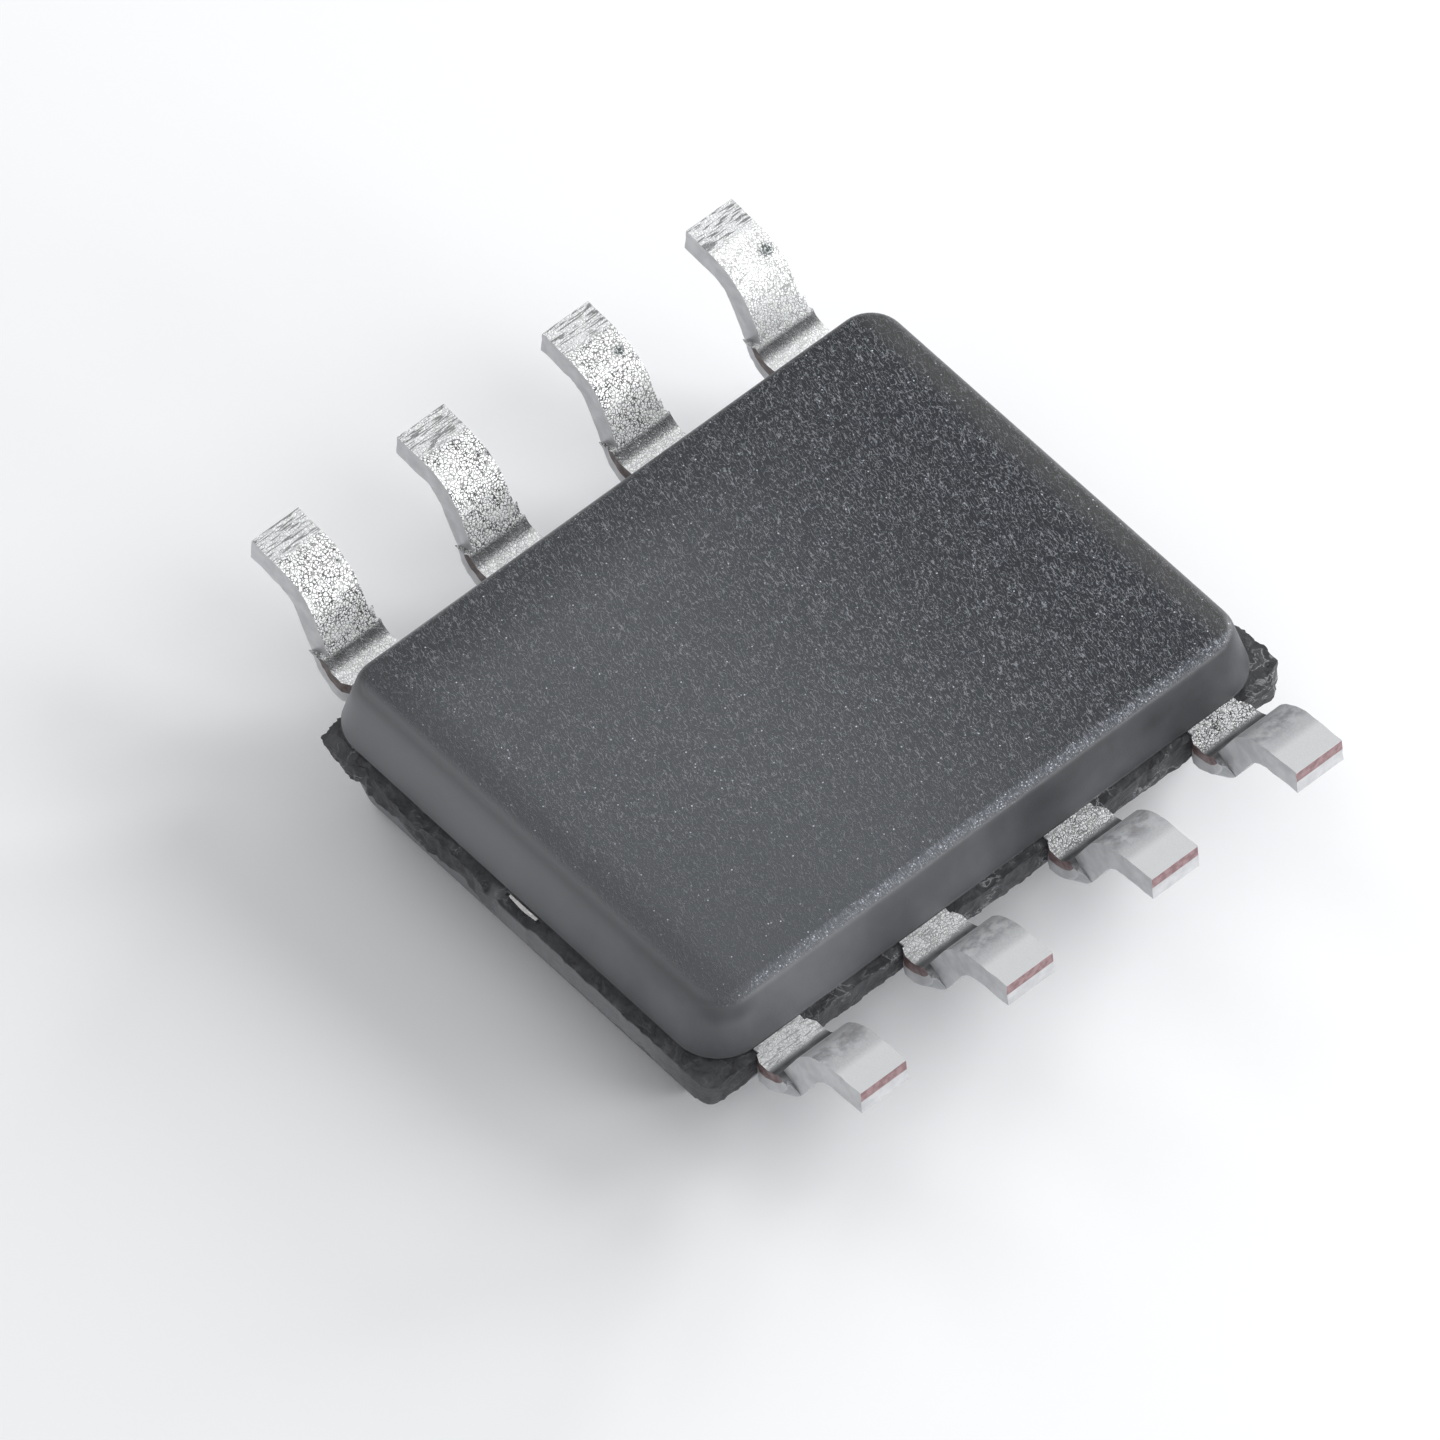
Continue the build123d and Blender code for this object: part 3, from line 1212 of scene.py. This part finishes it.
    def broken(self, point: Vector) -> Vector:
        """Find the place of a vertex on the chipped ledge.

        Args:
            point: Where it is on the whole slab.

        Returns:
            Where it goes.
        """
        inner = self.inner_point(point)
        moved = inner + (point - inner) * self.reach(point)
        out = min(1.0, (point - inner).length / (self.root + self.end_flash))
        middle = (self.floor + self.top) / 2
        rise = point.z - middle
        from_lead = min(abs(point.x - place) for place in self.lead_places)
        if abs(point.y) > self.width / 2 - 0.1 and from_lead < self.seat_half:
            moved.z = middle + rise * self.seat_thickness
            return moved
        if point.x > 2.40 and abs(point.y + self.bar_middle) < self.bar_half + 0.03:
            return Vector((inner.x + (point.x - inner.x) * self.bar_reach, point.y, point.z))
        lift = abs(ripple(point, 17, 9, 5)) + 0.6 * abs(ripple(point, 41, 9, 2))
        thin = 1 - self.thinning * lift * out
        if point.x < -2.30 and point.y > self.flake[0]:
            share = min(1.0, (point.y - self.flake[0]) / (self.flake[1] - self.flake[0]))
            thin *= 1 - share * out * (1 - self.flake_share)
        moved.z = middle + rise * thin
        from_bar = abs(point.y - self.bar_middle)
        if point.x < 0 and from_bar < self.bar_half:
            return self.opened(point, moved, inner, out, (from_bar / self.bar_half) ** 2)
        if point.x < 0 and self.dent[0] < point.y < self.dent[1] and rise > 0 and out > 0.3:
            moved.z = self.top - self.dent_depth * (out - 0.3) * (point.y - 0.03) / self.bar_half
        return moved

    def opened(self, point: Vector, moved: Vector, inner: Vector, out: float, bow: float) -> Vector:
        """Find the place of a vertex at the crescent-shaped opening before the -X tie bar.

        Args:
            point: Where the vertex was.
            moved: Where the chipped rim puts it.
            inner: The nearest point inside the wall.
            out: How far out it is, from 0 at the wall to 1 at the rim.
            bow: How far to the side it is, from 0 in the middle of the bar to 1 at its edge.

        Returns:
            Where it goes.
        """
        middle = (self.floor + self.top) / 2
        above = point.z > middle
        if out > 0.55:
            moved.x = inner.x + (point.x - inner.x) * (0.97 if above else 0.93)
            moved.x -= 0.009 - (0.028 * bow if out < 0.7 else 0)
            moved.z = point.z + (0.003 if above else 0)
        else:
            moved.z = middle + (point.z - middle) * 0.8
        return moved


@dataclass
class Lead:
    """A gull-wing lead of the +Y row: finger, shoulder, leg, heel and foot, with two cut stubs."""

    width: float = 0.41
    floor: float = 0.64
    top: float = 0.84
    finger_end: float = 1.30
    finger_length: float = 0.50
    finger_width: float = 0.62
    bend_y: float = 2.1203
    bend_z: float = 0.99
    bend_turn: float = 64.0
    bend_steps: int = 10
    leg: float = 0.275
    heel_y: float = 2.7506
    heel_z: float = 0.9888
    heel_turn: float = 58.7
    heel_steps: int = 12
    foot: float = 0.281
    flat_steps: int = 6
    stub_from: float = 2.00
    stub_out: float = 0.05
    stub_top: float = 0.96
    spur_from: float = 0.265

    def build(self, lean: float) -> Piece:
        """Model one lead whose finger leans to one side.

        Args:
            lean: Sideways shift of the finger in millimetres.

        Returns:
            The lead in the middle of the row.
        """
        middle = (self.floor + self.top) / 2
        lead = Piece.start("lead_skin", bpy.ops.mesh.primitive_grid_add, x_subdivisions=12, y_subdivisions=6,
                           size=1)
        lead.place((self.width, self.top - self.floor, 1), (0, self.finger_end, middle), math.pi / 2)
        lead.edit()
        bpy.ops.mesh.select_all(action="SELECT")
        lead.extrude((0, self.finger_length, 0), (0, 0.1, 0), (0, 0.1, 0), (0, 0.06, 0),
                     (0, self.bend_y - self.stub_from - 0.06, 0))
        along = math.radians(self.bend_turn)
        lead.spin((0, self.bend_y, self.bend_z), along, self.bend_steps)
        self.run_straight(lead, self.leg, along)
        turn = math.radians(self.heel_turn)
        lead.spin((0, self.heel_y, self.heel_z), -turn, self.heel_steps)
        self.run_straight(lead, self.foot, along - turn)
        lead.face_outwards()
        self.add_finger(lead, lean)
        self.add_stubs(lead)
        lead.leave()
        lead.clean(0.0002)
        return lead

    def run_straight(self, lead: Piece, length: float, along: float) -> None:
        """Extrude the end of the strip in a straight line, in even steps.

        Args:
            lead: The lead, with the end selected.
            length: How far.
            along: Its rise, in radians.
        """
        step = length / self.flat_steps
        lead.extrude(*[(0, step * math.cos(along), step * math.sin(along))] * self.flat_steps)

    def add_finger(self, lead: Piece, lean: float) -> None:
        """Widen the inner end of the lead, inside the moulding.

        Args:
            lead: The bent strip.
            lean: Sideways shift of the finger in millimetres.
        """
        for side in (-1, 1):
            out = side * (self.finger_width - self.width) / 2 + lean
            if out * side > 0:
                lead.pick(Element.FACE, lambda f: f.normal.x * side > 0.9
                          and f.calc_center_median().y < self.finger_end + self.finger_length)
                lead.extrude((out, 0, 0))

    def add_stubs(self, lead: Piece) -> None:
        """Draw the cut ends of the dam bar out of both sides of the shoulder, each with a small spur.

        Args:
            lead: The bent strip.
        """
        axis = Vector((0, self.bend_y, self.bend_z))
        along = math.radians(self.bend_turn - 8)
        for side in (-1, 1):
            lead.pick(Element.FACE, lambda f: f.normal.x * side > 0.9
                      and f.calc_center_median().y > self.stub_from
                      and self.bend_angle(f.calc_center_median()) < self.bend_turn - 7
                      and f.calc_center_median().z < self.stub_top)
            lead.extrude((side * self.stub_out, 0, 0))
            lead.pick(Element.FACE, lambda f: f.normal.z > 0.6 and abs(f.normal.x) < 0.2
                      and f.calc_center_median().x * side > self.width / 2
                      and self.bend_angle(f.calc_center_median()) > self.bend_turn - 9
                      and (f.calc_center_median() - axis).yz.length > self.spur_from)
            for out, rise, taper in ((0.022, 0.045, 0.6), (0.026, 0.05, 0.25)):
                lead.extrude((side * out, rise * math.cos(along), rise * math.sin(along)))
                bpy.ops.transform.resize(value=(taper, taper, taper))

    def bend_angle(self, point: Vector) -> float:
        """Angle in degrees round the shoulder bend, below 0 on the flat shoulder."""
        return math.degrees(math.atan2(point.y - self.bend_y, self.bend_z - point.z))


@dataclass
class Paddle:
    """The plate that carries the die, with a tie bar to each end face, sheared off inside the flash."""

    length: float = 3.00
    width: float = 2.20
    corner: float = 0.15
    floor: float = 0.82
    top: float = 1.02
    bar_width: float = 0.28
    bar_offset: float = 0.10
    bar_overlap: float = 0.20
    bar_top: float = 0.84
    bar_end: float = 2.50
    bar_taper: Triple = (0.93, 1, 0.92)
    bar_steps: int = 6
    bend_steps: int = 8
    stick_out: float = 0.03
    bend_y: float = 1.5716
    bend_radius: float = 0.15
    bend_turn: float = 35.75
    slope: float = 0.2113
    second_y: float = 1.9184

    def build(self) -> Piece:
        """Build the plate and both bars.

        Returns:
            The finished piece.
        """
        plate = Piece.start("die_paddle_skin", bpy.ops.mesh.primitive_plane_add, size=1)
        plate.place((self.length, self.width, 1), (0, 0, self.floor))
        plate.edit()
        bpy.ops.mesh.bevel(offset=self.corner, segments=6, affect="VERTICES")
        bpy.ops.mesh.select_mode(type="FACE")
        bpy.ops.mesh.select_all(action="SELECT")
        plate.extrude((0, 0, self.top - self.floor))
        plate.face_outwards()
        plate.leave()
        for side in (1, -1):
            plate.combine(self.bar(side), Combine.JOIN)
        plate.clean()
        return plate

    def bar(self, side: int) -> Piece:
        """Model one tie bar along +Y and turn it to the end it belongs to.

        Args:
            side: 1 for the +X end, -1 for the other.

        Returns:
            The bar in its place.
        """
        half = (self.top - self.floor) / 2
        start = self.length / 2 - self.bar_overlap
        bar = Piece.start("tie_bar", bpy.ops.mesh.primitive_grid_add, x_subdivisions=6, y_subdivisions=4,
                          size=1)
        bar.place((self.bar_width, 2 * half, 1), (0, start, self.top - half), math.pi / 2)
        bar.edit()
        bpy.ops.mesh.select_all(action="SELECT")
        bar.extrude((0, self.bend_y - start, 0))
        turn = math.radians(self.bend_turn)
        bar.spin((0, self.bend_y, self.top - half - self.bend_radius), -turn, self.bend_steps)
        bar.extrude((0, self.slope * math.cos(turn), -self.slope * math.sin(turn)))
        bar.spin((0, self.second_y, self.bar_top - half + self.bend_radius), turn, self.bend_steps)
        end = self.bar_end + (self.stick_out if side > 0 else 0)
        bar.extrude(*[(0, (end - self.second_y) / self.bar_steps, 0)] * self.bar_steps)
        bpy.ops.transform.resize(value=self.bar_taper)
        bar.leave()
        bar.clean()
        bar.move_verts(lambda co: Vector((side * co.y, side * (self.bar_offset - co.x), co.z)))
        return bar


@dataclass
class LeadSet:
    """Both rows of leads, each lead a copy with its own worn surface."""

    pitch: float = 1.27
    per_row: int = 4
    lean: float = 0.16
    shape: Lead = field(default_factory=Lead)
    near_bend_end: float = 2.31
    far_bend_end: float = 2.25
    tip_from: float = 2.985
    tip_copper: Range = (1.335, 1.41)
    stub_copper: float = 0.09
    bend_copper: float = 0.245
    root_taper: float = 0.012
    bend_ramp: Range = (2.13, 2.19)
    bend_edge: float = 0.02

    def build(self, finish: bpy.types.Material) -> None:
        """Build all leads and put each in the place of its node.

        Args:
            finish: The material of the leads.
        """
        leans = [0.0] * self.per_row
        leans[0], leans[-1] = self.lean, -self.lean
        patterns = {lean: self.shape.build(lean) for lean in sorted(set(leans))}
        for number in range(1, 2 * self.per_row + 1):
            row = Row.NEAR if number <= self.per_row else Row.FAR
            place = (number - 1) % self.per_row
            shift = (place - (self.per_row - 1) / 2) * self.pitch
            lead = patterns[leans[place]].copy(f"lead_{number}_skin")
            self.surface(lead, self.near_bend_end if row is Row.NEAR else self.far_bend_end)
            lead.move_verts(lambda co: self.worn(co, number))
            lead.move_verts(lambda co: Vector((row.value * (co.x + shift), row.value * co.y, co.z)))
            obj = lead.to_metres(50)
            set_finish(obj, finish)
            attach(obj, "root")
            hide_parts(f"lead_{number}")
        for pattern in patterns.values():
            pattern.remove()

    def surface(self, lead: Piece, bend_end: float) -> None:
        """Mark the plated faces, the bare copper and the smooth inside of the shoulder bend.

        Args:
            lead: The lead in the middle of the row.
            bend_end: How far out the smooth inside of the bend reaches.
        """
        mesh = lead.obj.data
        layer = mesh.color_attributes.new("surface", "FLOAT_COLOR", "CORNER")
        start, full = self.bend_ramp
        for face in mesh.polygons:
            y, z = face.center.yz
            side = abs(face.normal.x) > 0.7
            tip = y > self.tip_from and face.normal.y > 0.8
            plated = 0.0 if side or tip else 1.0
            copper = 1.0 if side and self.on_cut_end(face.center) else 0.0
            bend = 1.0 if 2.10 < y < bend_end + 0.03 and z < 1.05 and face.normal.z > 0.2 else 0.0
            for loop in face.loop_indices:
                corner = mesh.vertices[mesh.loops[loop].vertex_index].co
                if tip:
                    copper = 1.0 if self.tip_copper[0] < corner.z < self.tip_copper[1] else 0.0
                fade_in = min(1.0, max(0.0, (corner.y - start) / (full - start)))
                fade_out = min(1.0, max(0.0, (bend_end - corner.y) / self.bend_edge))
                layer.data[loop].color = (plated, copper, bend * fade_in * fade_out, 1.0)

    def on_cut_end(self, point: Vector) -> bool:
        """Say whether a place is on the upper part of a stub's cut end, where the copper shows.

        Args:
            point: The place.

        Returns:
            Whether the copper shows there.
        """
        if abs(point.x) <= self.shape.width / 2 + 0.02:
            return False
        if point.y < self.shape.bend_y:
            return point.z > self.shape.top - self.stub_copper
        return (point - Vector((0, self.shape.bend_y, self.shape.bend_z))).yz.length < self.bend_copper

    def worn(self, co: Vector, seed: int) -> Vector:
        """Move a lead's vertex for the waviness of its sides and the taper of its torn stubs.

        Args:
            co: Where it is on the even lead.
            seed: Number of the lead, which picks its waves.

        Returns:
            Where it goes.
        """
        shape = self.shape
        if co.y < shape.stub_from - 0.01:
            return co
        on_stub = abs(co.x) > shape.width / 2 + 0.01
        if on_stub and co.y < shape.stub_from + 0.02:
            return Vector((co.x * (shape.width / 2 + self.root_taper) / abs(co.x), co.y, co.z))
        wave = noise.noise(Vector((seed * 7.1, co.y * 5, co.z * 5)))
        fine = noise.noise(Vector((co.x * 18, co.y * 18 + seed * 3.3, co.z * 18)))
        inward = 1 - 0.05 * abs(wave) - 0.03 * abs(fine)
        turn = shape.bend_angle(co)
        if on_stub and 0 < turn < 80 and co.z < 1.1:
            arm = Vector((co.y - shape.bend_y, co.z - shape.bend_z))
            inner = shape.bend_z - shape.top
            arm *= (inner + (arm.length - inner) * (1 - 0.45 * min(1.0, turn / 57))) / arm.length
            return Vector((co.x * inward, shape.bend_y + arm.x, shape.bend_z + arm.y))
        return Vector((co.x * inward, co.y, co.z))


@dataclass(frozen=True)
class Lamp:
    """A soft round lamp, whose level is the brightness it adds to a white surface square to it."""

    name: str
    toward: Triple
    size: float
    level: float
    reach: float = 60.0

    def build(self) -> None:
        """Hang the lamp at its reach from the object, facing it."""
        data = bpy.data.lights.new(self.name, "AREA")
        data.shape = "DISK"
        data.size = self.size * MM
        data.energy = self.level * math.pi ** 2 * (self.reach * MM) ** 2
        lamp = bpy.data.objects.new(self.name, data)
        direction = Vector(self.toward).normalized()
        axes = direction.to_track_quat("Z", "Y").to_matrix().to_4x4()
        lamp.matrix_world = Matrix.Translation(direction * self.reach * MM) @ axes
        bpy.context.scene.collection.objects.link(lamp)


@dataclass
class Studio:
    """The camera at the photo's angle, the lamps, the white surround and the floor."""

    azimuth: float = -40.808
    elevation: float = 53.835
    roll: float = -1.021
    distance: float = 154.813
    offset_x: float = 0.4958
    offset_y: float = 0.1759
    lens: float = 590.1
    target_z: float = 0.84
    floor_size: float = 120.0
    surround_level: float = 0.48
    lamps: tuple[Lamp, ...] = (
        Lamp("low side lamp", (0.961, 0.0, 0.276), 27.7, 0.70),
        Lamp("low front lamp", (0.481, -0.832, 0.276), 27.7, 0.34),
        Lamp("high corner lamp", (0.700, -0.405, 0.588), 27.7, 0.36),
        Lamp("fill lamp", (-0.75, -0.35, 0.56), 36.0, 0.03),
        Lamp("back lamp", (-0.123, 0.696, 0.707), 36.0, 0.13),
    )

    def camera(self) -> None:
        """Create the camera."""
        turn, rise, roll = (math.radians(angle) for angle in (self.azimuth, self.elevation, self.roll))
        back = Vector((math.sin(turn) * math.cos(rise), -math.cos(turn) * math.cos(rise), math.sin(rise)))
        level = Vector((0, 0, 1)).cross(back).normalized()
        upright = back.cross(level)
        right = level * math.cos(roll) + upright * math.sin(roll)
        up = upright * math.cos(roll) - level * math.sin(roll)
        eye = Vector((0, 0, self.target_z)) - right * self.offset_x - up * self.offset_y
        eye += back * self.distance
        data = bpy.data.cameras.new("photo camera")
        data.lens = self.lens
        data.sensor_width = 36
        data.clip_start = 0.01
        data.clip_end = 10
        camera = bpy.data.objects.new("photo camera", data)
        axes = Matrix((right, up, back)).transposed().to_4x4()
        camera.matrix_world = Matrix.Translation(eye * MM) @ axes
        bpy.context.scene.collection.objects.link(camera)
        bpy.context.scene.camera = camera

    def surround(self) -> None:
        """Make the world white to the camera and in reflections, and softer as light."""
        world = bpy.data.worlds.new("white surround")
        world.use_nodes = True
        bpy.context.scene.world = world
        graph = Graph(world.node_tree)
        path = graph.add("ShaderNodeLightPath")
        seen = graph.larger(graph.larger(path["Is Camera Ray"], path["Is Glossy Ray"]),
                            path["Is Transmission Ray"])
        sky = world.node_tree.nodes["Background"]
        graph.feed(sky, {"Color": (1, 1, 1, 1), "Strength": graph.span(seen, to=(self.surround_level, 1.0))})

    def floor(self) -> None:
        """Lay the pale floor."""
        floor = Piece.start("floor", bpy.ops.mesh.primitive_grid_add, x_subdivisions=8, y_subdivisions=8,
                            size=1)
        floor.place((self.floor_size * MM, self.floor_size * MM, 1), (0, 0, 0))
        set_finish(floor.obj, Paper().material())

    def build(self) -> None:
        """Set up the whole studio."""
        self.camera()
        self.surround()
        for lamp in self.lamps:
            lamp.build()
        self.floor()
        bpy.context.scene.view_settings.view_transform = "Standard"


def main() -> None:
    """Build the dressed part and its studio."""
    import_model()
    gold = DrawnMetal("drawn gold", (0.72, 0.50, 0.18), (0.90, 0.68, 0.32)).material()
    for number in range(1, 9):
        set_finish(bpy.data.objects[f"bond_wire_{number}"], gold)
    set_finish(bpy.data.objects["die_attach"], FilledEpoxy().material())
    set_finish(bpy.data.objects["silicon_die"], Silicon().material())
    body = Moulding().build().to_metres(32)
    set_finish(body, Compound().material())
    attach(body, "root")
    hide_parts("moulded_body")
    paddle = Paddle().build().to_metres(32)
    set_finish(paddle, DrawnMetal().material())
    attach(paddle, "root")
    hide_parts("die_paddle")
    LeadSet().build(TinPlate().material())
    Studio().build()


if __name__ == "__main__":
    logging.basicConfig(level=logging.INFO)
    main()
